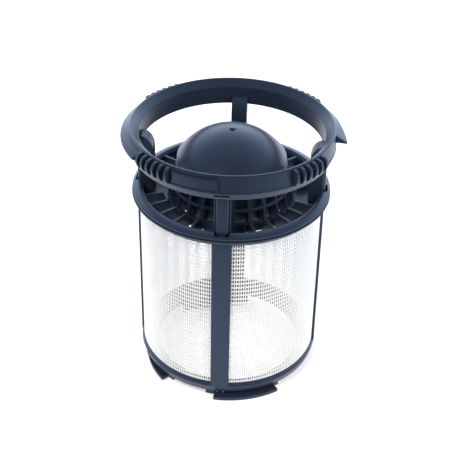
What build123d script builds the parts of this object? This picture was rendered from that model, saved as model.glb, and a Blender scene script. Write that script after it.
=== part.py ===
from build123d import *
import math
import os

# A dishwasher filter: a screen cylinder in a moulded frame, a coarse basket with a dome in its top,
# and a handle ring that stands above the basket on four tongues.
# Sizes are in millimetres. The filter's axis is Z, and z = 0 is the floor that its three lugs stand on.
# Angles are in degrees about Z, from +X towards +Y, and the front of the filter is at -Y.

# Fits
slide_clearance = 0.2

# Heights of the whole filter, from the floor up
total_height = 124.0
quarter_turn = 90.0

# Handle ring: the wall
ring_crest_radius = 45.0
ring_crest_width = 0.7
ring_mouth_radius = 41.2
ring_mouth_drop = 3.2
ring_bore_radius = 41.0
ring_height = 11.5
ring_foot_radius = 44.6
ring_band_radius = 45.5
ring_step_radius = 46.0
ring_step_drop = 7.9

# Handle ring: the bayonet skirt, which leaves one quarter of the ring plain
skirt_start = -0.6
skirt_sweep = 268.7
skirt_root_radius = 44.8
skirt_top_drop = 1.6
skirt_tip_radius = 50.0
skirt_tip_drop = 5.2
skirt_edge_height = 0.4
skirt_under_drop = 6.4

# Handle ring: the grip ribs
rib_group_angle = 49.0
rib_count = 6
rib_pitch = 4.15
rib_width = 1.7
rib_reach = 2.8
rib_top_drop = 0.9
rib_shoulder_drop = 1.3
rib_toe_drop = 7.0
rib_bottom_drop = 8.0

# Handle ring: the tongues, and the slot in the wall above each one
tongue_width = 5.5
tongue_back_radius = 39.6
tongue_face_radius = 42.3
tongue_root_drop = 10.6
tongue_tip_drop = 32.1
tongue_corner = 2.5
tongue_edge = 0.5
slot_width = 6.5
slot_height = 1.0
slot_drop = 9.0
slot_floor_radius = 43.4

# Coarse basket: the rim that sits on the frame
rim_top_drop = 30.3
rim_mouth_radius = 41.0
rim_bore_radius = 39.8
rim_outer_radius = 45.0
rim_shoulder_radius = 42.9
rim_edge_drop = 1.1
rim_edge_height = 2.4
rim_spigot_radius = 40.7
rim_spigot_drop = 38.8

# Coarse basket: the channel posts
post_width = 7.3
post_depth = 6.5
post_recess = 0.7
post_top_drop = 7.5
post_shoulder_drop = 14.8
post_crown_reach = 1.8
post_crown_drop = 9.7
post_edge = 0.7

# Coarse basket: the dome
dome_top_drop = 3.2
dome_height = 13.1
dome_rim_radius = 24.6
dome_skirt_drop = 18.0
dome_wall = 1.8
gate_radius = 2.1
gate_depth = 0.7

# Coarse basket: the cage, a cone that widens from the dome down to its foot
cage_wall = 1.6
cage_foot_radius = 29.5
cage_foot_drop = 38.4
window_count = 24
window_reach = 6.5
upper_window_width = 5.1
upper_window_floor = 23.1
upper_window_top_drop = 20.0
upper_window_bottom_drop = 28.0
lower_window_width = 5.7
lower_window_top_drop = 29.4
lower_window_bottom_drop = 34.3

# Coarse basket: the sleeve inside the cage
sleeve_top_radius = 21.6
sleeve_waist_radius = 23.8
sleeve_waist_drop = 37.0
sleeve_foot_radius = 20.2
sleeve_foot_drop = 44.5
sleeve_wall = 1.4

# Coarse basket: the fins and the closed floor under each post
fin_count = 5
fin_pitch = 12.45
fin_width = 1.3
fin_top_drop = 31.2
fin_root_depth = 1.3
fin_hook_radius = 31.6
fin_step_drop = 34.8
fin_step_radius = 30.4
floor_half_angle = 17.0
floor_top_drop = 36.7
floor_thickness = 1.3

# Frame: the top hoop
hoop_radius = 44.25
hoop_height = 1.1
hoop_step_radius = 43.2
hoop_step_drop = 34.3
hoop_foot_radius = 42.3
hoop_foot_drop = 36.2

# Frame: the upright bars
bar_radius = 42.2
bar_width = 8.4

# Frame: the bottom hoop, whose heights are taken from its foot
sill_height = 5.6
sill_radius = 41.75
sill_mid_height = 3.7
sill_mid_radius = 42.6
sill_foot_radius = 41.4
sill_bore_radius = 38.6

# Frame: the three bayonet lugs, each an upright wall with a flange that reaches outwards at its foot
lug_height = 3.8
lug_wall_outer = 39.6
lug_wall_inner = 38.2
lug_flange_radius = 43.5
lug_flange_height = 1.8
front_lug_angle = -93.7
front_wall_angle = -100.0
left_lug_angle = -172.8
left_wall_angle = -177.0
back_lug_angle = 84.0
back_wall_angle = 79.0
lug_flange_sweep = 42.0
front_wall_sweep = 53.0
left_wall_sweep = 51.0
back_wall_sweep = 52.0

# Frame: the inner lip of the bottom hoop, and the straight tab on it at the back
lip_radius = 34.0
lip_thickness = 1.5
tab_angle = 109.4
tab_distance = 24.0
tab_width = 34.0
tab_corner = 3.0

# Screen: one woven sheet rolled to a cylinder, with its two ends and its seams moulded into the frame
screen_radius = 41.3
screen_thickness = 0.3
screen_seat = 1.3
gaps_per_panel = 30
gap_pitch = 2.5
gap_width = 1.05
gap_depth = 2.0
gap_margin = 1.2

# Derived sizes
front_angle = -quarter_turn
quadrant_angle = quarter_turn / 2.0
frame_bore = rim_spigot_radius + slide_clearance
sill_mid = lug_height + sill_mid_height
sill_top = lug_height + sill_height
hoop_foot = total_height - hoop_foot_drop
screen_bottom = sill_top - screen_seat
screen_top = hoop_foot + screen_seat
screen_inner = screen_radius - screen_thickness / 2.0
screen_outer = screen_radius + screen_thickness / 2.0
channel_width = tongue_width + 2.0 * slide_clearance
channel_floor = tongue_back_radius
hoop_top = total_height - rim_top_drop - rim_edge_height
post_neck_radius = ring_bore_radius - slide_clearance
post_outer_radius = tongue_face_radius - post_recess
post_inner_radius = post_outer_radius - post_depth
post_crown_radius = post_inner_radius + post_crown_reach
dome_radius = (dome_rim_radius ** 2 + dome_height ** 2) / (2.0 * dome_height)
dome_centre = total_height - dome_top_drop - dome_radius
dome_inner_radius = dome_radius - dome_wall
cage_top_bore = dome_rim_radius - cage_wall
cage_foot_bore = cage_foot_radius - cage_wall
sleeve_top_bore = sleeve_top_radius - sleeve_wall
fin_root_radius = cage_foot_radius - fin_root_depth
lower_window_floor = sleeve_waist_radius + slide_clearance
fin_reach = rim_bore_radius + slide_clearance
channel_depth = tongue_face_radius + slide_clearance - channel_floor


def level(drop):
    """The height above the floor of a point that lies this far below the ring's crest."""
    return total_height - drop


def dome_point(radius, reach):
    """The point of a dome surface of this radius that lies this far from the filter's axis."""
    return (reach, dome_centre + math.sqrt(radius ** 2 - reach ** 2))


def upright_plane(angle):
    """A plane through the filter's axis whose x direction points out at this angle."""
    return Plane((0.0, 0.0, 0.0), Vector(1, 0, 0).rotate(Axis.Z, angle), Vector(0, -1, 0).rotate(Axis.Z, angle))


# The handle ring's wall, with its chamfered mouth and the step in its outside
with BuildPart() as handle_ring:
    with BuildSketch(Plane.XZ):
        with BuildLine():
            Polyline(
                (ring_bore_radius, level(ring_height)),
                (ring_foot_radius, level(ring_height)),
                (ring_band_radius, level(ring_step_drop)),
                (ring_step_radius, level(ring_step_drop)),
                (ring_crest_radius + ring_crest_width / 2.0, level(ring_crest_width / 2.0)),
                (ring_crest_radius, total_height),
                (ring_crest_radius - ring_crest_width, total_height),
                (ring_mouth_radius, level(ring_mouth_drop)),
                close=True,
            )
        make_face()
    revolve(axis=Axis.Z)

    # The flared skirt runs round three quarters of the ring
    with BuildSketch(upright_plane(skirt_start)):
        with BuildLine():
            Polyline(
                (skirt_root_radius, level(skirt_top_drop)),
                (skirt_tip_radius, level(skirt_tip_drop)),
                (skirt_tip_radius, level(skirt_tip_drop + skirt_edge_height)),
                (skirt_root_radius, level(skirt_under_drop)),
                close=True,
            )
        make_face()
    revolve(axis=Axis.Z, revolution_arc=skirt_sweep)

# One grip rib of the ring, sloped at its top and its toe
with BuildPart() as grip_rib:
    with BuildSketch(Plane.XZ):
        with BuildLine():
            Polyline(
                (skirt_root_radius, level(rib_top_drop)),
                (ring_step_radius, level(rib_top_drop)),
                (ring_step_radius + rib_reach, level(rib_shoulder_drop)),
                (ring_step_radius + rib_reach, level(rib_toe_drop)),
                (ring_step_radius, level(rib_bottom_drop)),
                (skirt_root_radius, level(rib_bottom_drop)),
                close=True,
            )
        make_face()
    extrude(amount=rib_width / 2.0, both=True)

# One tongue, with a round end, that stands in a channel post of the basket
with BuildPart() as tongue:
    with BuildSketch(Plane.YZ.offset(tongue_back_radius)) as tongue_face:
        with Locations((0.0, level((tongue_root_drop + tongue_tip_drop) / 2.0))):
            Rectangle(tongue_width, tongue_tip_drop - tongue_root_drop)
        fillet(tongue_face.vertices().group_by(Axis.Y)[0], radius=tongue_corner)
    extrude(amount=tongue_face_radius - tongue_back_radius)
    fillet(tongue.faces().sort_by(Axis.X)[-1].edges().group_by(Axis.Z)[:-1], radius=tongue_edge)

# The ribs and tongues are moulded on, and a slot goes into the wall above each tongue
with handle_ring:
    for quadrant in range(4):
        group_angle = front_angle + rib_group_angle + quadrant * quarter_turn
        with PolarLocations(0.0, rib_count, group_angle - rib_pitch * (rib_count - 1) / 2.0,
                            rib_pitch * (rib_count - 1), endpoint=True):
            add(grip_rib.part)
    with PolarLocations(0.0, 4):
        add(tongue.part)
    with BuildSketch(Plane.XY.offset(level(slot_drop + slot_height))):
        with PolarLocations(slot_floor_radius, 4):
            Rectangle(ring_step_radius, slot_width, align=(Align.MIN, Align.CENTER))
    extrude(amount=slot_height, mode=Mode.SUBTRACT)

# One channel post of the basket: a shoulder at the top, and a channel in its outer side for a tongue
with BuildPart() as channel_post:
    with BuildSketch(Plane.XZ):
        with BuildLine():
            ThreePointArc(
                (post_inner_radius, level(post_shoulder_drop)),
                (post_crown_radius, level(post_crown_drop)),
                (post_neck_radius, level(post_top_drop)),
            )
            Polyline(
                (post_neck_radius, level(post_top_drop)),
                (post_neck_radius, level(ring_height + slide_clearance)),
                (post_outer_radius, level(ring_height + slide_clearance)),
                (post_outer_radius, hoop_top),
                (rim_spigot_radius, hoop_top),
                (rim_spigot_radius, level(floor_top_drop)),
                (post_inner_radius, level(floor_top_drop)),
                (post_inner_radius, level(post_shoulder_drop)),
            )
        make_face()
    extrude(amount=post_width / 2.0, both=True)
    fillet(channel_post.faces().sort_by(Axis.X)[0].edges().filter_by(Axis.Z), radius=post_edge)

# One fin of the basket: level out at the rim, and hooked down where it meets the cage
with BuildPart() as fin:
    with BuildSketch(Plane.XZ):
        with BuildLine():
            Polyline(
                (fin_reach, level(fin_top_drop)),
                (fin_hook_radius, level(fin_top_drop)),
                (fin_step_radius, level(fin_step_drop)),
                (fin_root_radius, level(fin_step_drop)),
                (fin_root_radius, level(cage_foot_drop)),
                (fin_reach, level(cage_foot_drop)),
                close=True,
            )
        make_face()
    extrude(amount=fin_width / 2.0, both=True)

# The basket's rim: a collar on the frame's top hoop and a spigot inside it
with BuildPart() as coarse_basket:
    with BuildSketch(Plane.XZ):
        with BuildLine():
            Polyline(
                (rim_mouth_radius, level(rim_top_drop)),
                (rim_shoulder_radius, level(rim_top_drop)),
                (rim_outer_radius, level(rim_top_drop + rim_edge_drop)),
                (rim_outer_radius, hoop_top),
                (rim_spigot_radius, hoop_top),
                (rim_spigot_radius, level(rim_spigot_drop)),
                (rim_bore_radius, level(rim_spigot_drop)),
                (rim_bore_radius, level(rim_top_drop + rim_mouth_radius - rim_bore_radius)),
                close=True,
            )
        make_face()
    revolve(axis=Axis.Z)

    # The dome, the cage under it and the sleeve inside them are one hollow shell
    with BuildSketch(Plane.XZ):
        with BuildLine():
            ThreePointArc(
                dome_point(dome_radius, 0.0),
                dome_point(dome_radius, dome_rim_radius / 2.0),
                dome_point(dome_radius, dome_rim_radius),
            )
            Polyline(
                dome_point(dome_radius, dome_rim_radius),
                (dome_rim_radius, level(dome_skirt_drop)),
                (cage_foot_radius, level(cage_foot_drop)),
                (cage_foot_bore, level(cage_foot_drop)),
                (cage_top_bore, level(dome_skirt_drop)),
                dome_point(dome_inner_radius, cage_top_bore),
            )
            ThreePointArc(
                dome_point(dome_inner_radius, cage_top_bore),
                dome_point(dome_inner_radius, (cage_top_bore + sleeve_top_radius) / 2.0),
                dome_point(dome_inner_radius, sleeve_top_radius),
            )
            Polyline(
                dome_point(dome_inner_radius, sleeve_top_radius),
                (sleeve_waist_radius, level(sleeve_waist_drop)),
                (sleeve_foot_radius, level(sleeve_foot_drop)),
                (sleeve_foot_radius - sleeve_wall, level(sleeve_foot_drop)),
                (sleeve_waist_radius - sleeve_wall, level(sleeve_waist_drop)),
                dome_point(dome_inner_radius, sleeve_top_bore),
            )
            ThreePointArc(
                dome_point(dome_inner_radius, sleeve_top_bore),
                dome_point(dome_inner_radius, sleeve_top_bore / 2.0),
                dome_point(dome_inner_radius, 0.0),
            )
            Line(dome_point(dome_inner_radius, 0.0), dome_point(dome_radius, 0.0))
        make_face()
    revolve(axis=Axis.Z)

    # Two rows of windows go round the cage, cut from outside and clear of the sleeve
    with BuildSketch(Plane.XY.offset(level(upper_window_bottom_drop))):
        with PolarLocations(upper_window_floor, window_count):
            Rectangle(window_reach, upper_window_width, align=(Align.MIN, Align.CENTER))
    extrude(amount=upper_window_bottom_drop - upper_window_top_drop, mode=Mode.SUBTRACT)
    with BuildSketch(Plane.XY.offset(level(lower_window_bottom_drop))):
        with PolarLocations(lower_window_floor, window_count):
            Rectangle(window_reach, lower_window_width, align=(Align.MIN, Align.CENTER))
    extrude(amount=lower_window_bottom_drop - lower_window_top_drop, mode=Mode.SUBTRACT)

    # The fins run out from the cage's foot to the rim
    for quadrant in range(4):
        first_fin = quadrant_angle + quadrant * quarter_turn - fin_pitch * (fin_count - 1) / 2.0
        with PolarLocations(0.0, fin_count, first_fin, fin_pitch * (fin_count - 1), endpoint=True):
            add(fin.part)

    # A closed floor lies under each post, from the cage to the rim
    for quadrant in range(4):
        with BuildSketch(upright_plane(quadrant * quarter_turn - floor_half_angle)):
            with BuildLine():
                Polyline(
                    (fin_root_radius, level(floor_top_drop)),
                    (fin_reach, level(floor_top_drop)),
                    (fin_reach, level(floor_top_drop + floor_thickness)),
                    (fin_root_radius, level(floor_top_drop + floor_thickness)),
                    close=True,
                )
            make_face()
        revolve(axis=Axis.Z, revolution_arc=2.0 * floor_half_angle)

    # The posts are moulded on, each with a channel for its tongue, and the dome keeps the mark of its gate
    with PolarLocations(0.0, 4):
        add(channel_post.part)
    with BuildSketch(Plane.XY.offset(level(tongue_tip_drop + slide_clearance))):
        with PolarLocations(channel_floor, 4):
            Rectangle(channel_depth, channel_width, align=(Align.MIN, Align.CENTER))
    extrude(amount=tongue_tip_drop - tongue_root_drop + 2.0 * slide_clearance, mode=Mode.SUBTRACT)
    with BuildSketch(Plane.XY.offset(level(dome_top_drop + gate_depth))):
        RegularPolygon(gate_radius, 3, rotation=front_angle)
    extrude(amount=dome_wall, mode=Mode.SUBTRACT)

# The frame's two hoops and four bars
with BuildPart() as mesh_frame:
    with BuildSketch(Plane.XZ):
        with BuildLine():
            Polyline(
                (frame_bore, hoop_top),
                (hoop_radius, hoop_top),
                (hoop_radius, hoop_top - hoop_height),
                (hoop_step_radius, level(hoop_step_drop)),
                (hoop_foot_radius, hoop_foot),
                (frame_bore, hoop_foot),
                close=True,
            )
        make_face()
        with BuildLine():
            Polyline(
                (lip_radius, lug_height),
                (sill_foot_radius, lug_height),
                (sill_mid_radius, sill_mid),
                (sill_radius, sill_top),
                (sill_bore_radius, sill_top),
                (sill_bore_radius, lug_height + lip_thickness),
                (lip_radius, lug_height + lip_thickness),
                close=True,
            )
        make_face()
    revolve(axis=Axis.Z)
    with BuildSketch(Plane.XY.offset(sill_mid)):
        with PolarLocations(0.0, 4):
            Rectangle(bar_radius, bar_width, align=(Align.MIN, Align.CENTER))
        Circle(bar_radius, mode=Mode.INTERSECT)
        Circle(frame_bore, mode=Mode.SUBTRACT)
    extrude(amount=level(hoop_step_drop) - sill_mid)

    # Three bayonet lugs hang under the bottom hoop, each a curved wall with a flange at its foot
    for wall_angle, wall_sweep, flange_angle in (
        (front_wall_angle, front_wall_sweep, front_lug_angle),
        (left_wall_angle, left_wall_sweep, left_lug_angle),
        (back_wall_angle, back_wall_sweep, back_lug_angle),
    ):
        with BuildSketch(upright_plane(wall_angle)):
            with BuildLine():
                Polyline(
                    (lug_wall_inner, 0.0),
                    (lug_wall_outer, 0.0),
                    (lug_wall_outer, lug_height),
                    (lug_wall_inner, lug_height),
                    close=True,
                )
            make_face()
        revolve(axis=Axis.Z, revolution_arc=wall_sweep)
        with BuildSketch(upright_plane(flange_angle)):
            with BuildLine():
                Polyline(
                    (lug_wall_inner, 0.0),
                    (lug_flange_radius, 0.0),
                    (lug_flange_radius, lug_flange_height),
                    (lug_wall_inner, lug_flange_height),
                    close=True,
                )
            make_face()
        revolve(axis=Axis.Z, revolution_arc=lug_flange_sweep)

    # A straight tab reaches inwards from the lip at the back
    with BuildSketch(Plane.XY.offset(lug_height)):
        with PolarLocations(0.0, 1, tab_angle):
            with Locations((tab_distance, 0.0)):
                Rectangle(tab_corner + sill_bore_radius - tab_distance, tab_width, align=(Align.MIN, Align.CENTER))
        Circle(sill_bore_radius, mode=Mode.INTERSECT)
    extrude(amount=lip_thickness)

    # The sheet of the screen passes through the bars and into both hoops, so its own space is left in them
    with BuildSketch(Plane.XY.offset(screen_bottom)):
        Circle(screen_outer)
        Circle(screen_inner, mode=Mode.SUBTRACT)
    extrude(amount=screen_top - screen_bottom, mode=Mode.SUBTRACT)

# The screen's sheet, with rows of gaps in the four panels between the bars
with BuildPart() as mesh_screen:
    with BuildSketch(Plane.XY.offset(screen_bottom)):
        Circle(screen_outer)
        Circle(screen_inner, mode=Mode.SUBTRACT)
    extrude(amount=screen_top - screen_bottom)
    with BuildSketch(Plane.XY.offset(sill_top + gap_margin)):
        for quadrant in range(4):
            first_gap = quadrant_angle + quadrant * quarter_turn - gap_pitch * (gaps_per_panel - 1) / 2.0
            with PolarLocations(screen_radius, gaps_per_panel, first_gap,
                                gap_pitch * (gaps_per_panel - 1), endpoint=True):
                Rectangle(gap_depth, gap_width)
    extrude(amount=hoop_foot - sill_top - 2.0 * gap_margin, mode=Mode.SUBTRACT)

# One file for each piece
os.makedirs("parts", exist_ok=True)
handle_ring.part.label = "handle_ring"
export_step(handle_ring.part, "parts/handle_ring.step")
coarse_basket.part.label = "coarse_basket"
export_step(coarse_basket.part, "parts/coarse_basket.step")
mesh_frame.part.label = "mesh_frame"
export_step(mesh_frame.part, "parts/mesh_frame.step")
mesh_screen.part.label = "mesh_screen"
export_step(mesh_screen.part, "parts/mesh_screen.step")
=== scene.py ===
import math

import bmesh
import bpy
from mathutils import Matrix, Vector


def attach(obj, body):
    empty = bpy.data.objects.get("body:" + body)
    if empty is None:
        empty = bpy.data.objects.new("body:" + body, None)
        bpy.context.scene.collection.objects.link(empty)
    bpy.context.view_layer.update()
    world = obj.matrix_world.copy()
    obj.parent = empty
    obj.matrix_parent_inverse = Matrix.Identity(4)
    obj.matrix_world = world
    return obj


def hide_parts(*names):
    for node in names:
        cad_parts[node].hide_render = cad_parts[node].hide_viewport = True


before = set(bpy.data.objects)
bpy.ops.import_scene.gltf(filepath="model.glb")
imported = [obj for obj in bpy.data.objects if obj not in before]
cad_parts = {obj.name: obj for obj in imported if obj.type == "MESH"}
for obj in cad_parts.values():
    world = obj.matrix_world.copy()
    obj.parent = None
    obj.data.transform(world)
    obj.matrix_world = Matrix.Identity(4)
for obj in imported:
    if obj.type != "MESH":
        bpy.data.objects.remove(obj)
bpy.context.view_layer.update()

# Handle ring: one polypropylene moulding in dark slate, lifted out by hand to empty the basket.
# A funnel mouth leads into its bore, a bayonet skirt runs round most of it, and groups of ribs
# give wet fingers a grip. Four tongues under it clip it to the basket.
MM = 0.001
FULL_TURN = 360.0
STEP_ANGLE = 2.0
SHARP_ANGLE = math.radians(32.0)
MERGE_DISTANCE = 0.0005
NEAR = 0.01
EDGE_RADIUS = 0.25
FLAT_FACE_WEIGHT = 80
POST_ANGLES = (0.0, 90.0, 180.0, 270.0)
RING_OUTLINE = (
    (41.0, 112.5), (44.9, 112.5), (46.1, 115.5), (46.1, 116.1), (45.75, 116.35),
    (45.35, 123.65), (45.0, 124.0), (44.3, 124.0), (41.2, 120.8),
)
SLOT_FLOOR = 43.4
SLOT_REACH = 47.0
SLOT_WIDTH = 6.5
SLOT_BOTTOM = 114.0
SLOT_TOP = 115.0
SKIRT_TIP = 49.3
SKIRT_OUTLINE = ((44.6, 121.7), (SKIRT_TIP, 119.7), (SKIRT_TIP, 119.1), (44.6, 117.6))
SKIRT_ROUND = 0.2
HOOKED_SPAN = (-0.6, 36.0)
PLAIN_SPANS = ((63.0, 63.0), (153.0, 63.0))
HOOK_ANGLE = 12.0
HOOK_ROOT = 45.5
HOOK_REACH = 1.5
HOOK_DROOP = 1.9
FRONT_BAND_OUTLINE = ((44.6, 122.1), (46.6, 122.1), (46.7, 117.7), (44.6, 117.7))
FRONT_BAND_SPAN = (243.0, 25.1)
RIB_OUTLINE = (
    (44.8, 123.4), (46.2, 123.4), (47.6, 123.0), (48.5, 122.0), (48.9, 120.4),
    (48.8, 118.6), (48.2, 117.1), (47.2, 116.2), (46.0, 115.8), (44.8, 115.8),
)
RIB_GROUP_ANGLE = -40.2
RIB_COUNT = 6
RIB_PITCH = 4.2
RIB_WIDTH = 1.4
RIB_ROUND = 0.3
TONGUE_WIDTH = 5.7
TONGUE_BACK = 39.6
TONGUE_FACE = 42.6
TONGUE_ROOT = 113.4
TONGUE_TIP = 91.9
TONGUE_CORNER = 2.5
TONGUE_ROUND = 1.0
PLASTIC_DARK = "#1c2331"
PLASTIC_LIGHT = "#212938"
PLASTIC_SHEEN = "#b4d6ff"
PLASTIC_IOR = 1.49
PLASTIC_ROUGHNESS = (0.32, 0.4)
NOISE_RANGE = (0.3, 0.7)
FLOW_MARK_SIZE = 18.2
GRAIN_SIZE = 0.625
GRAIN_DEPTH = 0.1
GRAIN_STRENGTH = 0.12
# A Mix node has several sockets of each name, so its colour sockets are found by their place.
MIX_COLOUR_A = 6
MIX_COLOUR_B = 7
MIX_COLOUR_RESULT = 2


def linear(hex_colour):
    """An sRGB hex colour as linear red, green, blue and alpha."""
    channels = [int(hex_colour[i:i + 2], 16) / 255.0 for i in (1, 3, 5)]
    return tuple(c / 12.92 if c <= 0.04045 else ((c + 0.055) / 1.055) ** 2.4 for c in channels) + (1.0,)


def add_node(tree, kind, links=None, inputs=None, **settings):
    """Adds one node with its settings and input values, and links other nodes' outputs into it."""
    node = tree.nodes.new(kind)
    for name, value in settings.items():
        setattr(node, name, value)
    for name, value in (inputs or {}).items():
        node.inputs[name].default_value = value
    for name, socket in (links or {}).items():
        tree.links.new(socket, node.inputs[name])
    return node


def soften(bm, radius=EDGE_RADIUS, segments=2):
    """Rounds every edge of a moulding that turns by more than the sharp angle."""
    bmesh.ops.recalc_face_normals(bm, faces=bm.faces)
    sharp = [e for e in bm.edges if e.is_manifold and e.calc_face_angle() > SHARP_ANGLE]
    bmesh.ops.bevel(bm, geom=sharp, offset=radius, offset_type="OFFSET", segments=segments,
                    profile=0.5, affect="EDGES", clamp_overlap=True, material=-1)
    # Where two rounds meet, the bevel leaves faces of no width, which a later cut would break up.
    bmesh.ops.remove_doubles(bm, verts=bm.verts, dist=MERGE_DISTANCE)
    return bm


def turned(outline, start=0.0, sweep=FULL_TURN):
    """Turns a closed outline of radius and height about the filter's axis, all round or part of it."""
    bm = bmesh.new()
    turn = Matrix.Rotation(math.radians(start), 3, "Z")
    corners = [bm.verts.new(turn @ Vector((radius, 0.0, height))) for radius, height in outline]
    section = bm.faces.new(corners)
    whole = sweep == FULL_TURN
    geom = corners + list(section.edges) + ([] if whole else [section])
    if whole:
        bmesh.ops.delete(bm, geom=[section], context="FACES_ONLY")
    bmesh.ops.spin(bm, geom=geom, cent=(0.0, 0.0, 0.0), axis=(0.0, 0.0, 1.0), angle=math.radians(sweep),
                   steps=round(sweep / STEP_ANGLE), use_merge=whole)
    bmesh.ops.remove_doubles(bm, verts=bm.verts, dist=MERGE_DISTANCE)
    bmesh.ops.recalc_face_normals(bm, faces=bm.faces)
    return bm


def grown_verts(result):
    """The vertices among what an extrusion returns."""
    return [v for v in result["geom"] if isinstance(v, bmesh.types.BMVert)]


def web(outline, width):
    """A flat web of this width, upright in the plane through the filter's axis and +X."""
    bm = bmesh.new()
    face = bm.faces.new([bm.verts.new((radius, -width / 2.0, height)) for radius, height in outline])
    grown = grown_verts(bmesh.ops.extrude_face_region(bm, geom=[face]))
    bmesh.ops.translate(bm, verts=grown, vec=(0.0, width, 0.0))
    bmesh.ops.recalc_face_normals(bm, faces=bm.faces)
    return bm


def slab(low, high):
    """A block between two corners."""
    bm = bmesh.new()
    size = Vector(high) - Vector(low)
    middle = (Vector(high) + Vector(low)) / 2.0
    bmesh.ops.create_cube(bm, size=1.0, matrix=Matrix.Translation(middle) @ Matrix.Diagonal(size.to_4d()))
    return bm


def add_to(piece, part, angles=(0.0,)):
    """Adds a copy of a part to a piece at each angle about the filter's axis."""
    mesh = bpy.data.meshes.new("part")
    part.to_mesh(mesh)
    turned_by = 0.0
    for angle in angles:
        mesh.transform(Matrix.Rotation(math.radians(angle - turned_by), 4, "Z"))
        turned_by = angle
        piece.from_mesh(mesh)
    bpy.data.meshes.remove(mesh)
    part.free()


def cut(piece, cutter):
    """Takes the cutter's shape out of a closed piece and returns the piece."""
    objects = []
    for name, bm in (("cut_piece", piece), ("cutter", cutter)):
        mesh = bpy.data.meshes.new(name)
        bmesh.ops.recalc_face_normals(bm, faces=bm.faces)
        bm.to_mesh(mesh)
        bm.free()
        objects.append(bpy.data.objects.new(name, mesh))
        bpy.context.scene.collection.objects.link(objects[-1])
    modifier = objects[0].modifiers.new("cut", "BOOLEAN")
    modifier.operation = "DIFFERENCE"
    modifier.solver = "EXACT"
    modifier.use_self = True
    modifier.object = objects[1]
    bpy.context.view_layer.update()
    result = bmesh.new()
    result.from_object(objects[0], bpy.context.evaluated_depsgraph_get())
    for thing in objects:
        mesh = thing.data
        bpy.data.objects.remove(thing)
        bpy.data.meshes.remove(mesh)
    bmesh.ops.remove_doubles(result, verts=result.verts, dist=MERGE_DISTANCE)
    bmesh.ops.dissolve_degenerate(result, edges=result.edges, dist=MERGE_DISTANCE)
    return result


def finish_piece(bm, name, material, node):
    """Turns a piece from millimetres to metres, shades it and puts it on the frame in its node's place."""
    bmesh.ops.scale(bm, vec=(MM, MM, MM), verts=bm.verts)
    mesh = bpy.data.meshes.new(name)
    bm.to_mesh(mesh)
    bm.free()
    mesh.shade_smooth()
    mesh.set_sharp_from_angle(angle=SHARP_ANGLE)
    mesh.materials.append(material)
    piece = bpy.data.objects.new(name, mesh)
    bpy.context.scene.collection.objects.link(piece)
    weighted = piece.modifiers.new("flat_faces", "WEIGHTED_NORMAL")
    weighted.keep_sharp = True
    weighted.weight = FLAT_FACE_WEIGHT
    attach(piece, "root")
    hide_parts(node)


def moulded_polypropylene(name):
    """Injection moulded polypropylene. The eye sees a satin skin with a cool sheen and faint flow marks.
    Spark-eroded grain is about 0.05 mm in the real skin, and is drawn at 0.6 mm, as coarse as it shows."""
    material = bpy.data.materials.new(name)
    material.use_nodes = True
    tree = material.node_tree
    shader = tree.nodes["Principled BSDF"]
    shader.inputs["IOR"].default_value = PLASTIC_IOR
    shader.inputs["Specular Tint"].default_value = linear(PLASTIC_SHEEN)
    place = add_node(tree, "ShaderNodeTexCoord")
    marks = add_node(tree, "ShaderNodeTexNoise", links={"Vector": place.outputs["Object"]},
                     inputs={"Scale": 1.0 / (FLOW_MARK_SIZE * MM), "Detail": 4.0, "Roughness": 0.55})
    tint = add_node(tree, "ShaderNodeMix", data_type="RGBA", links={"Factor": marks.outputs["Fac"]},
                    inputs={MIX_COLOUR_A: linear(PLASTIC_DARK), MIX_COLOUR_B: linear(PLASTIC_LIGHT)})
    gloss = add_node(tree, "ShaderNodeMapRange", links={"Value": marks.outputs["Fac"]},
                     inputs={"From Min": NOISE_RANGE[0], "From Max": NOISE_RANGE[1],
                             "To Min": PLASTIC_ROUGHNESS[0], "To Max": PLASTIC_ROUGHNESS[1]})
    grain = add_node(tree, "ShaderNodeTexNoise", links={"Vector": place.outputs["Object"]},
                     inputs={"Scale": 1.0 / (GRAIN_SIZE * MM), "Detail": 2.0, "Roughness": 0.6})
    bump = add_node(tree, "ShaderNodeBump", links={"Height": grain.outputs["Fac"]},
                    inputs={"Strength": GRAIN_STRENGTH, "Distance": GRAIN_DEPTH * MM})
    tree.links.new(tint.outputs[MIX_COLOUR_RESULT], shader.inputs["Base Color"])
    tree.links.new(gloss.outputs["Result"], shader.inputs["Roughness"])
    tree.links.new(bump.outputs["Normal"], shader.inputs["Normal"])
    return material


slate_plastic = moulded_polypropylene("slate_polypropylene_moulded")
handle_ring = bmesh.new()
slots = bmesh.new()
slot_corners = ((SLOT_FLOOR, -SLOT_WIDTH / 2.0, SLOT_BOTTOM), (SLOT_REACH, SLOT_WIDTH / 2.0, SLOT_TOP))
add_to(slots, slab(*slot_corners), POST_ANGLES)
add_to(handle_ring, cut(soften(turned(RING_OUTLINE)), slots))

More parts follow.
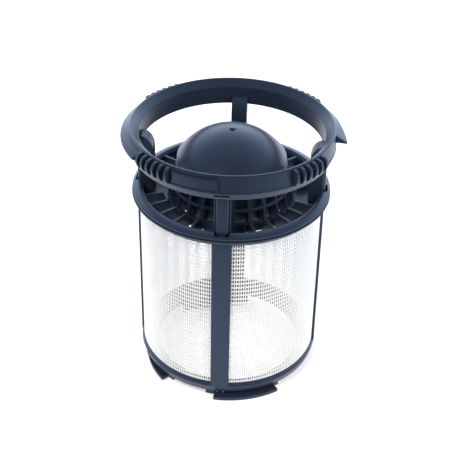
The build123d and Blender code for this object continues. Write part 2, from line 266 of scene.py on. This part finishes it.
# The skirt's end at the right is drawn out and down to a hook.
hooked_skirt = turned(SKIRT_OUTLINE, *HOOKED_SPAN)
for vert in hooked_skirt.verts:
    along = math.degrees(math.atan2(vert.co.y, vert.co.x)) - HOOKED_SPAN[0]
    hook = max(0.0, 1.0 - along / HOOK_ANGLE)
    tip = max(0.0, vert.co.xy.length - HOOK_ROOT) / (SKIRT_TIP - HOOK_ROOT)
    vert.co.xy *= 1.0 + HOOK_REACH * hook * tip / vert.co.xy.length
    vert.co.z -= HOOK_DROOP * hook * tip
add_to(handle_ring, soften(hooked_skirt, SKIRT_ROUND))
for span in PLAIN_SPANS:
    add_to(handle_ring, soften(turned(SKIRT_OUTLINE, *span), SKIRT_ROUND))
add_to(handle_ring, soften(turned(FRONT_BAND_OUTLINE, *FRONT_BAND_SPAN), SKIRT_ROUND))
rib_angles = [
    RIB_GROUP_ANGLE + post + RIB_PITCH * (i - (RIB_COUNT - 1) / 2.0)
    for post in POST_ANGLES for i in range(RIB_COUNT)
]
add_to(handle_ring, soften(web(RIB_OUTLINE, RIB_WIDTH), RIB_ROUND), rib_angles)

# A tongue's foot has large round corners, and its other edges are rounded less.
tongue = slab((TONGUE_BACK, -TONGUE_WIDTH / 2.0, TONGUE_TIP), (TONGUE_FACE, TONGUE_WIDTH / 2.0, TONGUE_ROOT))
foot_corners = [
    e for e in tongue.edges
    if all(v.co.z < TONGUE_TIP + NEAR for v in e.verts) and abs(e.verts[0].co.y - e.verts[1].co.y) < NEAR
]
bmesh.ops.bevel(tongue, geom=foot_corners, offset=TONGUE_CORNER, offset_type="OFFSET", segments=8,
                profile=0.5, affect="EDGES", clamp_overlap=True, material=-1)
add_to(handle_ring, soften(tongue, TONGUE_ROUND, segments=4), POST_ANGLES)
finish_piece(handle_ring, "grip_ring", slate_plastic, "handle_ring")

# Coarse basket: one polypropylene moulding that catches scraps. A hollow dome closes the cage in its
# middle, fins run out from the foot of the cage to the rim, and four channel posts take the tongues
# of the handle ring.
RIM_OUTLINE = (
    (41.0, 93.7), (42.9, 93.7), (45.0, 92.6), (44.6, 91.3),
    (40.7, 91.3), (40.7, 86.7), (39.8, 86.7), (39.8, 92.5),
)
CHANNEL_WIDTH = 6.3
CHANNEL_FLOOR = 39.4
CHANNEL_REACH = 43.7
CHANNEL_BOTTOM = 91.7
CHANNEL_TOP = 113.6
POST_WIDTH = 7.3
POST_INNER = 35.1
POST_OUTER = 41.6
POST_NECK = 40.8
POST_SPIGOT = 40.5
POST_FOOT = 87.2
POST_SEAT = 91.3
POST_TOP = 112.3
POST_ROUND = 0.5
SHOULDER_LEAN = 5.7
SHOULDER_FOOT = 109.2
SHOULDER_HEIGHT = 7.3
DOME_TOP = 120.8
DOME_RADIUS = 29.65
DOME_WALL = 1.8
DOME_RIM = 24.6
DOME_SKIRT = 106.0
DOME_ROUND = 0.3
GATE_FOOT_RADIUS = 1.7
GATE_MOUTH_RADIUS = 2.8
GATE_HEIGHT = 1.7
CAGE_OUTLINE = ((24.6, 106.3), (25.08, 104.0), (27.0, 96.0), (27.34, 94.6), (28.52, 89.7), (29.5, 85.6))
CAGE_WALL = 1.6
WINDOW_PITCH = 15.0
WINDOW_HALF_ANGLE = 6.0
WINDOW_STEP = 1.5
WINDOW_ROWS = ((96.0, 104.0), (89.7, 94.6))
SLEEVE_OUTLINE = ((20.2, 110.5), (21.6, 109.0), (23.8, 87.0), (20.2, 79.5), (18.8, 79.5), (22.4, 87.0))
SLEEVE_ROUND = 0.2
BRIDGE_OUTLINE = ((21.2, 106.0), (23.3, 106.0), (27.2, 89.0), (27.6, 86.5), (23.0, 86.5))
BRIDGE_WIDTH = 0.9
BRIDGE_ROUND = 0.1
FIN_OUTLINE = (
    (40.0, 92.8), (31.6, 92.8), (30.4, 89.2), (28.2, 89.2), (28.2, 85.6), (38.5, 85.6), (40.0, 86.7),
)
FIN_GROUP_ANGLE = 45.0
FIN_WIDTH = 1.3
FIN_COUNT = 5
FIN_PITCH = 12.45
FLOOR_OUTLINE = ((28.2, 87.3), (40.0, 87.3), (40.0, 86.0), (28.2, 86.0))
FLOOR_SPAN = (-17.0, 34.0)


def arc(radius, middle, start, end, steps):
    """Radius and height of points on an arc whose middle is on the axis, by angles from straight up."""
    angles = [start + (end - start) * i / steps for i in range(steps + 1)]
    return [(radius * math.sin(angle), middle + radius * math.cos(angle)) for angle in angles]


def turned_sheet(chain, step=STEP_ANGLE):
    """Turns an open chain of radius and height into a sheet all round the filter's axis."""
    bm = bmesh.new()
    dots = [bm.verts.new((radius, 0.0, height)) for radius, height in chain]
    lines = [bm.edges.new(pair) for pair in zip(dots, dots[1:])]
    bmesh.ops.spin(bm, geom=dots + lines, cent=(0.0, 0.0, 0.0), axis=(0.0, 0.0, 1.0),
                   angle=math.radians(FULL_TURN), steps=round(FULL_TURN / step), use_merge=True)
    bmesh.ops.remove_doubles(bm, verts=bm.verts, dist=MERGE_DISTANCE)
    return bm


coarse_basket = bmesh.new()
channel_corners = (
    (CHANNEL_FLOOR, -CHANNEL_WIDTH / 2.0, CHANNEL_BOTTOM), (CHANNEL_REACH, CHANNEL_WIDTH / 2.0, CHANNEL_TOP),
)
pockets = bmesh.new()
add_to(pockets, slab(*channel_corners), POST_ANGLES)
add_to(coarse_basket, cut(soften(turned(RIM_OUTLINE)), pockets))

# The shoulder of a post is an arc that leans out over its top.
shoulder = [
    (POST_INNER + SHOULDER_LEAN * (1.0 - math.cos(t)), SHOULDER_FOOT + SHOULDER_HEIGHT * math.sin(t))
    for t in [math.radians(a) for a in range(0, 91, 10)]
]
post_outline = shoulder + [
    (POST_NECK, POST_TOP), (POST_OUTER, POST_TOP), (POST_OUTER, POST_SEAT), (POST_SPIGOT, POST_SEAT),
    (POST_SPIGOT, POST_FOOT), (POST_INNER, POST_FOOT),
]
post = cut(soften(web(post_outline, POST_WIDTH), POST_ROUND, segments=3), slab(*channel_corners))
add_to(coarse_basket, post, POST_ANGLES)

# The dome is a spun shell, closed on the axis inside and outside, with a gate mark cut into its top.
dome_middle = DOME_TOP - DOME_RADIUS
inner_radius = DOME_RADIUS - DOME_WALL
rim_bore = DOME_RIM - CAGE_WALL
dome_chain = arc(DOME_RADIUS, dome_middle, 0.0, math.asin(DOME_RIM / DOME_RADIUS), 20)
dome_chain += [(DOME_RIM, DOME_SKIRT), (rim_bore, DOME_SKIRT)]
dome_chain += arc(inner_radius, dome_middle, math.asin(rim_bore / inner_radius), 0.0, 14)
gate = bmesh.new()
gate_place = Matrix.Translation((0.0, 0.0, DOME_TOP)) @ Matrix.Rotation(math.radians(180.0), 4, "Z")
bmesh.ops.create_cone(gate, cap_ends=True, segments=3, radius1=GATE_FOOT_RADIUS, radius2=GATE_MOUTH_RADIUS,
                      depth=GATE_HEIGHT, matrix=gate_place)
add_to(coarse_basket, cut(soften(turned_sheet(dome_chain), DOME_ROUND, segments=3), gate))

# The cage is a cone of sheet whose windows are left out before it gets its thickness.
cage = turned_sheet(CAGE_OUTLINE, WINDOW_STEP)
panes = []
for face in cage.faces:
    middle = face.calc_center_median()
    along = math.degrees(math.atan2(middle.y, middle.x)) % WINDOW_PITCH
    in_row = any(low < middle.z < high for low, high in WINDOW_ROWS)
    if in_row and not WINDOW_HALF_ANGLE < along < WINDOW_PITCH - WINDOW_HALF_ANGLE:
        panes.append(face)
bmesh.ops.delete(cage, geom=panes, context="FACES")
bmesh.ops.recalc_face_normals(cage, faces=cage.faces)
sample = next(iter(cage.faces))
if sample.normal.dot(sample.calc_center_median()) < 0.0:
    bmesh.ops.reverse_faces(cage, faces=cage.faces)
bmesh.ops.solidify(cage, geom=cage.faces, thickness=CAGE_WALL)
add_to(coarse_basket, soften(cage))

# A sleeve stands inside the cage, and a thin bridge joins it to each upright between two windows.
add_to(coarse_basket, soften(turned(SLEEVE_OUTLINE), SLEEVE_ROUND))
bridge_angles = [WINDOW_PITCH * (i + 0.5) for i in range(round(FULL_TURN / WINDOW_PITCH))]
bridge = soften(web(BRIDGE_OUTLINE, BRIDGE_WIDTH), BRIDGE_ROUND, segments=1)
add_to(coarse_basket, bridge, bridge_angles)
fin_angles = [
    FIN_GROUP_ANGLE + post + FIN_PITCH * (i - (FIN_COUNT - 1) / 2.0)
    for post in POST_ANGLES for i in range(FIN_COUNT)
]
add_to(coarse_basket, soften(web(FIN_OUTLINE, FIN_WIDTH)), fin_angles)
add_to(coarse_basket, soften(turned(FLOOR_OUTLINE, *FLOOR_SPAN)), POST_ANGLES)
finish_piece(coarse_basket, "scrap_basket", slate_plastic, "coarse_basket")

# Mesh frame: one polypropylene moulding round the screen. Two hoops and four bars carry the sheet, and
# three lugs under the bottom hoop turn into the bayonet seat of the machine.
HOOP_OUTLINE = ((40.9, 91.3), (45.1, 91.3), (45.1, 90.6), (43.4, 89.7), (42.4, 87.8), (40.9, 87.8))
HOOP_ROUND = 0.2
SILL_BORE = 38.6
SILL_OUTLINE = (
    (34.0, 3.8), (41.4, 3.8), (42.6, 7.5), (41.75, 9.4), (SILL_BORE, 9.4), (SILL_BORE, 5.3), (34.0, 5.3),
)
SILL_ROUND = 0.3
BAR_OUTLINE = ((40.9, 7.5), (42.75, 7.5), (42.75, 89.7), (40.9, 89.7))
BAR_SPAN = (-5.725, 11.45)
BAR_ROUND = 0.3
LUG_WALL_OUTLINE = ((38.2, 0.0), (39.6, 0.0), (39.6, 3.9), (38.2, 3.9))
LUG_FLANGE_OUTLINE = ((38.2, 0.0), (43.5, 0.0), (43.5, 1.8), (38.2, 1.8))
FRONT_WALL_SPAN = (-100.0, 53.0)
FRONT_FLANGE_SPAN = (-93.7, 42.0)
LEFT_WALL_SPAN = (-177.0, 51.0)
LEFT_FLANGE_SPAN = (-162.0, 31.2)
BACK_WALL_SPAN = (79.0, 52.0)
BACK_FLANGE_SPAN = (84.0, 42.0)
RAMP_ROOT = 43.0
RAMP_START = -156.0
RAMP_DEPTH = 2.4
RAMP_SLOPE = 0.095
PEEPHOLE_ANGLES = (-92.1, -88.0)
PEEPHOLE_LOW = (37.0, -0.45, 0.7)
PEEPHOLE_HIGH = (39.65, 0.45, 2.8)
TAB_ANGLE = 109.4
TAB_LOW = (24.0, -17.0, 3.8)
TAB_HIGH = (41.0, 17.0, 5.3)
TAB_TRIM_OUTLINE = ((SILL_BORE, 2.0), (60.0, 2.0), (60.0, 8.0), (SILL_BORE, 8.0))


def with_peepholes(lug_part):
    """Cuts the two small holes of the front lug through a part of it."""
    holes = bmesh.new()
    add_to(holes, slab(PEEPHOLE_LOW, PEEPHOLE_HIGH), PEEPHOLE_ANGLES)
    return cut(lug_part, holes)


mesh_frame = bmesh.new()
add_to(mesh_frame, soften(turned(HOOP_OUTLINE), HOOP_ROUND))
add_to(mesh_frame, soften(turned(SILL_OUTLINE), SILL_ROUND, segments=3))
add_to(mesh_frame, soften(turned(BAR_OUTLINE, *BAR_SPAN), BAR_ROUND), POST_ANGLES)
add_to(mesh_frame, with_peepholes(soften(turned(LUG_WALL_OUTLINE, *FRONT_WALL_SPAN))))
add_to(mesh_frame, with_peepholes(soften(turned(LUG_FLANGE_OUTLINE, *FRONT_FLANGE_SPAN))))
for span in (LEFT_WALL_SPAN, BACK_WALL_SPAN):
    add_to(mesh_frame, soften(turned(LUG_WALL_OUTLINE, *span)))
add_to(mesh_frame, soften(turned(LUG_FLANGE_OUTLINE, *BACK_FLANGE_SPAN)))

# The left lug's flange runs in at its leading end, so that it finds its seat.
left_flange = turned(LUG_FLANGE_OUTLINE, *LEFT_FLANGE_SPAN)
for vert in left_flange.verts:
    if vert.co.xy.length > RAMP_ROOT:
        along = math.degrees(math.atan2(vert.co.y, vert.co.x)) - RAMP_START
        short = max(0.0, RAMP_DEPTH - RAMP_SLOPE * max(0.0, along))
        vert.co.xy *= 1.0 - short / vert.co.xy.length
add_to(mesh_frame, soften(left_flange))
tab_trim = turned(TAB_TRIM_OUTLINE)
add_to(mesh_frame, soften(cut(slab(TAB_LOW, TAB_HIGH), tab_trim)), (TAB_ANGLE,))
finish_piece(mesh_frame, "screen_frame", slate_plastic, "mesh_frame")

# Mesh screen: a woven sheet of white polyester monofilament, rolled to a cylinder and moulded into the
# frame. Pairs of cross threads pass over and under the upright ones. The threads are drawn about a
# millimetre apart, as coarse as they need to be to show.
SCREEN_RADIUS = 41.3
SCREEN_BOTTOM = 8.2
SCREEN_TOP = 88.9
WARP_COUNT = 250
WARP_WIDTH = 0.32
WARP_DEPTH = 0.46
WEFT_FIRST = 10.0
WEFT_PAIRS = 38
WEFT_PITCH = 2.1
WEFT_WIDTH = 0.34
WEFT_THICKNESS = 0.12
WEFT_GAP = 0.52
WEFT_WAVE = 0.16
THREAD_WHITE = "#fbfaf6"
THREAD_SHADE = "#f5f4ef"
THREAD_IOR = 1.54
THREAD_ROUGHNESS = 0.45
LIGHT_SPREAD = (1.0, 1.0, 0.95)
LIGHT_DEPTH = 0.6
CLOUD_SIZE = 25.0


def woven_polyester(name):
    """Woven polyester monofilament. Light enters the smooth threads, so the eye sees an even, milky white."""
    material = bpy.data.materials.new(name)
    material.use_nodes = True
    tree = material.node_tree
    shader = tree.nodes["Principled BSDF"]
    shader.inputs["IOR"].default_value = THREAD_IOR
    shader.inputs["Roughness"].default_value = THREAD_ROUGHNESS
    shader.inputs["Subsurface Weight"].default_value = 1.0
    shader.inputs["Subsurface Radius"].default_value = LIGHT_SPREAD
    shader.inputs["Subsurface Scale"].default_value = LIGHT_DEPTH * MM
    place = add_node(tree, "ShaderNodeTexCoord")
    clouds = add_node(tree, "ShaderNodeTexNoise", links={"Vector": place.outputs["Object"]},
                      inputs={"Scale": 1.0 / (CLOUD_SIZE * MM), "Detail": 3.0})
    tint = add_node(tree, "ShaderNodeMix", data_type="RGBA", links={"Factor": clouds.outputs["Fac"]},
                    inputs={MIX_COLOUR_A: linear(THREAD_WHITE), MIX_COLOUR_B: linear(THREAD_SHADE)})
    tree.links.new(tint.outputs[MIX_COLOUR_RESULT], shader.inputs["Base Color"])
    return material


white_weave = woven_polyester("white_polyester_woven")
screen = bmesh.new()
warp = slab((SCREEN_RADIUS - WARP_DEPTH / 2.0, -WARP_WIDTH / 2.0, SCREEN_BOTTOM),
            (SCREEN_RADIUS + WARP_DEPTH / 2.0, WARP_WIDTH / 2.0, SCREEN_TOP))
add_to(screen, warp, [i * FULL_TURN / WARP_COUNT for i in range(WARP_COUNT)])
weft_heights = [
    WEFT_FIRST + WEFT_PITCH * pair + side * WEFT_GAP / 2.0
    for pair in range(WEFT_PAIRS) for side in (-1.0, 1.0)
]
for row, height in enumerate(weft_heights):
    weft = bmesh.new()
    bmesh.ops.create_circle(weft, cap_ends=False, segments=WARP_COUNT, radius=SCREEN_RADIUS,
                            matrix=Matrix.Translation((0.0, 0.0, height)))
    for i, vert in enumerate(weft.verts):
        side = WEFT_WAVE if (i + row) % 2 else -WEFT_WAVE
        vert.co.xy *= (SCREEN_RADIUS + side) / SCREEN_RADIUS
    grown = grown_verts(bmesh.ops.extrude_edge_only(weft, edges=list(weft.edges)))
    bmesh.ops.translate(weft, verts=grown, vec=(0.0, 0.0, WEFT_WIDTH))
    bmesh.ops.translate(weft, verts=weft.verts, vec=(0.0, 0.0, -WEFT_WIDTH / 2.0))
    bmesh.ops.recalc_face_normals(weft, faces=weft.faces)
    bmesh.ops.solidify(weft, geom=weft.faces, thickness=WEFT_THICKNESS)
    add_to(screen, weft)
finish_piece(screen, "woven_screen", white_weave, "mesh_screen")

# Studio: a round white table under and behind the filter, whose front edge is near it, so that upright
# faces mirror the dim room beyond the edge. The room is brightest low behind the filter and dims
# overhead and towards the front. Two soft lamps in front light the screen.
FLOOR_RADIUS = 0.5
FLOOR_MIDDLE = (0.0, 0.33, -0.0003)
FLOOR_WHITE = "#f5f5f5"
FLOOR_ROUGHNESS = 0.9
FLOOR_GLOW = 0.2
ROOM_COLOUR = "#e0edff"
BACKGROUND_COLOUR = "#ffffff"
DIM_SIDE = (0.0, -0.55, 0.84)
DIM_LEVEL = 0.35
BRIGHT_RISE = 2.05
BRIGHT_POWER = 1.4
FRONT_LEVEL = 0.12
FRONT_FADE = (-1.0, 0.8)
LAMP_COLOUR = "#fff9f2"
LAMP_AIM = Vector((0.0, 0.0, 0.06))
LAMPS = (
    ("key_softbox", (-0.55, -0.75, 1.1), 0.8, 20.0),
    ("fill_softbox", (0.9, -0.45, 0.7), 0.7, 11.0),
)


def studio_white(name):
    """A matt white sweep. The camera and reflections see it as plain white, but for the filter's shadow."""
    material = bpy.data.materials.new(name)
    material.use_nodes = True
    tree = material.node_tree
    shader = tree.nodes["Principled BSDF"]
    shader.inputs["Base Color"].default_value = linear(FLOOR_WHITE)
    shader.inputs["Roughness"].default_value = FLOOR_ROUGHNESS
    shader.inputs["Specular IOR Level"].default_value = 0.0
    light_path = add_node(tree, "ShaderNodeLightPath")
    seen = add_node(tree, "ShaderNodeMath", operation="MAXIMUM",
                    links={0: light_path.outputs["Is Camera Ray"], 1: light_path.outputs["Is Glossy Ray"]})
    seen_through = add_node(tree, "ShaderNodeMath", operation="MAXIMUM",
                            links={0: seen.outputs["Value"], 1: light_path.outputs["Is Transmission Ray"]})
    glow_level = add_node(tree, "ShaderNodeMath", operation="MULTIPLY",
                          links={0: seen_through.outputs["Value"]}, inputs={1: FLOOR_GLOW})
    glow = add_node(tree, "ShaderNodeEmission", links={"Strength": glow_level.outputs["Value"]})
    both = add_node(tree, "ShaderNodeAddShader",
                    links={0: shader.outputs["BSDF"], 1: glow.outputs["Emission"]})
    tree.links.new(both.outputs["Shader"], tree.nodes["Material Output"].inputs["Surface"])
    return material


floor_shape = bmesh.new()
bmesh.ops.create_circle(floor_shape, cap_ends=True, segments=96, radius=FLOOR_RADIUS,
                        matrix=Matrix.Translation(FLOOR_MIDDLE))
floor_mesh = bpy.data.meshes.new("studio_floor")
floor_shape.to_mesh(floor_mesh)
floor_shape.free()
floor_mesh.materials.append(studio_white("studio_sweep_matt_white"))
studio_floor = bpy.data.objects.new("studio_floor", floor_mesh)
bpy.context.scene.collection.objects.link(studio_floor)

world = bpy.data.worlds.new("studio_world")
bpy.context.scene.world = world
world.use_nodes = True
room = world.node_tree
around = add_node(room, "ShaderNodeTexCoord")
facing = add_node(room, "ShaderNodeVectorMath", operation="DOT_PRODUCT",
                  links={0: around.outputs["Generated"]}, inputs={1: DIM_SIDE})
away = add_node(room, "ShaderNodeMath", operation="SUBTRACT",
                links={1: facing.outputs["Value"]}, inputs={0: 1.0})
rise = add_node(room, "ShaderNodeMath", operation="POWER",
                links={0: away.outputs["Value"]}, inputs={1: BRIGHT_POWER})
level = add_node(room, "ShaderNodeMath", operation="MULTIPLY_ADD",
                 links={0: rise.outputs["Value"]}, inputs={1: BRIGHT_RISE, 2: DIM_LEVEL})
axes = add_node(room, "ShaderNodeSeparateXYZ", links={"Vector": around.outputs["Generated"]})
fade = add_node(room, "ShaderNodeMapRange", links={"Value": axes.outputs["Y"]},
                inputs={"From Min": FRONT_FADE[0], "From Max": FRONT_FADE[1],
                        "To Min": FRONT_LEVEL, "To Max": 1.0})
dimmed = add_node(room, "ShaderNodeMath", operation="MULTIPLY",
                  links={0: level.outputs["Value"], 1: fade.outputs["Result"]})
light_path = add_node(room, "ShaderNodeLightPath")
strength = add_node(room, "ShaderNodeMix", inputs={"B": 1.0},
                    links={"Factor": light_path.outputs["Is Camera Ray"], "A": dimmed.outputs["Value"]})
tone = add_node(room, "ShaderNodeMix", data_type="RGBA",
                links={"Factor": light_path.outputs["Is Camera Ray"]},
                inputs={MIX_COLOUR_A: linear(ROOM_COLOUR), MIX_COLOUR_B: linear(BACKGROUND_COLOUR)})
room.links.new(tone.outputs[MIX_COLOUR_RESULT], room.nodes["Background"].inputs["Color"])
room.links.new(strength.outputs["Result"], room.nodes["Background"].inputs["Strength"])

for name, place, size, power in LAMPS:
    lamp = bpy.data.lights.new(name, "AREA")
    lamp.shape = "DISK"
    lamp.size = size
    lamp.energy = power
    lamp.color = linear(LAMP_COLOUR)[:3]
    lamp_object = bpy.data.objects.new(name, lamp)
    lamp_object.location = place
    lamp_object.rotation_euler = (LAMP_AIM - Vector(place)).to_track_quat("-Z", "Y").to_euler()
    lamp_object.visible_glossy = False
    bpy.context.scene.collection.objects.link(lamp_object)

# Camera: it looks down on the filter from the front, a little to the right of the front post, through a
# long lens, and is tilted by about a degree.
CAMERA_PLACE = Vector((0.03494, -0.41989, 0.35259))
CAMERA_AIM = Vector((-0.00061, -0.00004, 0.06783))
CAMERA_ROLL = math.radians(1.2)
CAMERA_LENS = 85.5
CAMERA_SENSOR = 36.0
CAMERA_NEAR = 0.01
camera_data = bpy.data.cameras.new("studio_camera")
camera_data.lens = CAMERA_LENS
camera_data.sensor_width = CAMERA_SENSOR
camera_data.dof.use_dof = False
camera_data.clip_start = CAMERA_NEAR
camera = bpy.data.objects.new("studio_camera", camera_data)
camera.rotation_mode = "QUATERNION"
camera.location = CAMERA_PLACE
looking = (CAMERA_AIM - CAMERA_PLACE).to_track_quat("-Z", "Y").to_matrix()
camera.rotation_quaternion = (looking @ Matrix.Rotation(CAMERA_ROLL, 3, "Z")).to_quaternion()
bpy.context.scene.collection.objects.link(camera)
bpy.context.scene.camera = camera
bpy.context.scene.view_settings.view_transform = "Standard"
